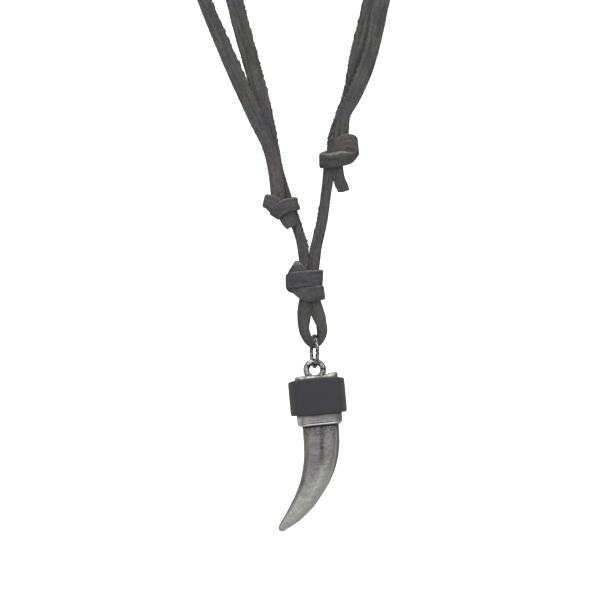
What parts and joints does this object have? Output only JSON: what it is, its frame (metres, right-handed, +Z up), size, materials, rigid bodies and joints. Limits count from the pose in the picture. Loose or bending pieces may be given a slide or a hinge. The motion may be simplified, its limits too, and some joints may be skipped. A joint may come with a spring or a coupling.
{
  "type": "horn necklace",
  "caption": "Curved metal horn pendant with a leather band, hung by a jump ring from a knotted suede thong that slides to size.",
  "frame": {"origin": "at the nape, on the skin side of the thong, midway between its two turns, where the back of the neck carries it", "axes": "+Z up as worn, -Y towards the front where the pendant hangs, +X to the viewer's right seen from the front"},
  "size_m": [0.1214, 0.1194, 0.2621],
  "materials": {
    "suede": "dark grey-brown suede lace with fuzzy cut edges",
    "band_leather": "smooth matte near-black leather",
    "pewter": "antique pewter, darkened in its hollows and rubbed bright on its edges",
    "ring_steel": "worn, slightly oxidised steel wire"
  },
  "bodies": {
    "thong": {"first_strand": "suede", "second_strand": "suede", "pendant_loop": "suede", "loop_knot": "suede", "left_slide_knot": "suede", "right_slide_knot": "suede", "knot_tail": "suede"},
    "ring": {"jump_ring": "ring_steel"},
    "pendant": {"horn_pendant": "pewter", "leather_band": "band_leather"}
  },
  "joints": [
    {"name": "ring_swing", "type": "hinge", "parent": "thong", "child": "ring", "pos_m": [0.0001, -0.112, -0.2112], "axis": [0.9816, 0.1908, 0], "range_deg": [-60, 60]},
    {"name": "pendant_swing", "type": "hinge", "parent": "ring", "child": "pendant", "pos_m": [0.0001, -0.112, -0.21663], "axis": [-0.1908, 0.9816, 0], "range_deg": [-60, 60]}
  ]
}
